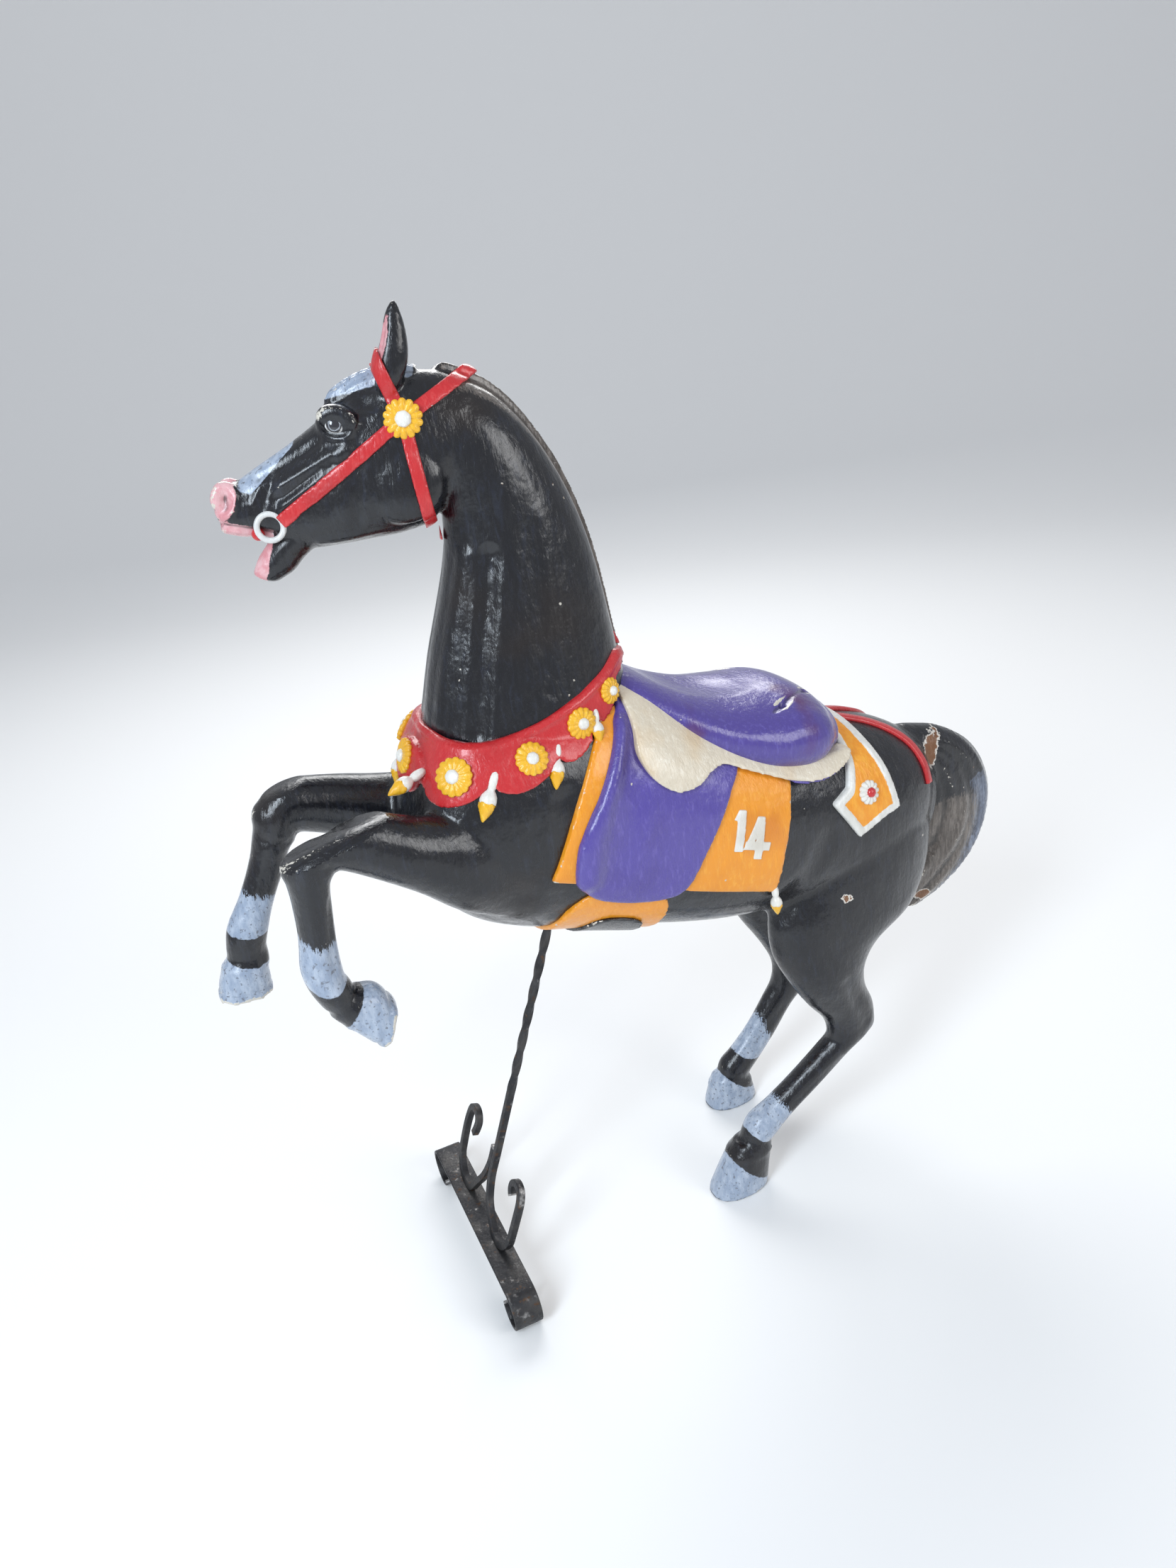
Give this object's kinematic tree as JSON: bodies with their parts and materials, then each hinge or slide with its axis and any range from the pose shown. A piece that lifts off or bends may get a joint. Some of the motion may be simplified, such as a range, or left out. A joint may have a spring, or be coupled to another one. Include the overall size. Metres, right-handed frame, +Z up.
{
  "type": "carousel horse",
  "caption": "Carved and painted jumping carousel horse, head turned slightly, leaning back on its hind hooves and on a twisted iron rod with a curled strip foot.",
  "frame": {"origin": "middle of the whole part's footprint box, on the ground", "axes": "+Z up, -X the way the horse faces, -Y its near (left) side"},
  "size_m": [1.4518, 0.4444, 1.614],
  "materials": {
    "horse_paint": "glossy black paint over carved wood, brush marks, small chips; blue-grey socks, hooves and blaze",
    "iron": "dark oxidised wrought iron, lighter on worn edges",
    "red_paint": "glossy red paint on carved straps and collar",
    "yellow_paint": "glossy yellow paint on flower petals and tassels",
    "white_paint": "off-white gloss paint on edges, centres and numbers",
    "cream_paint": "cream gloss paint on the saddle skirt",
    "purple_paint": "purple-blue gloss paint on the saddle and its flap",
    "orange_paint": "orange gloss paint on the saddle blanket and croup ornament"
  },
  "bodies": {
    "root": {"horse": "horse_paint", "twisted_rod": "iron", "side_scroll": "iron", "foot_bar": "iron"}
  },
  "joints": []
}
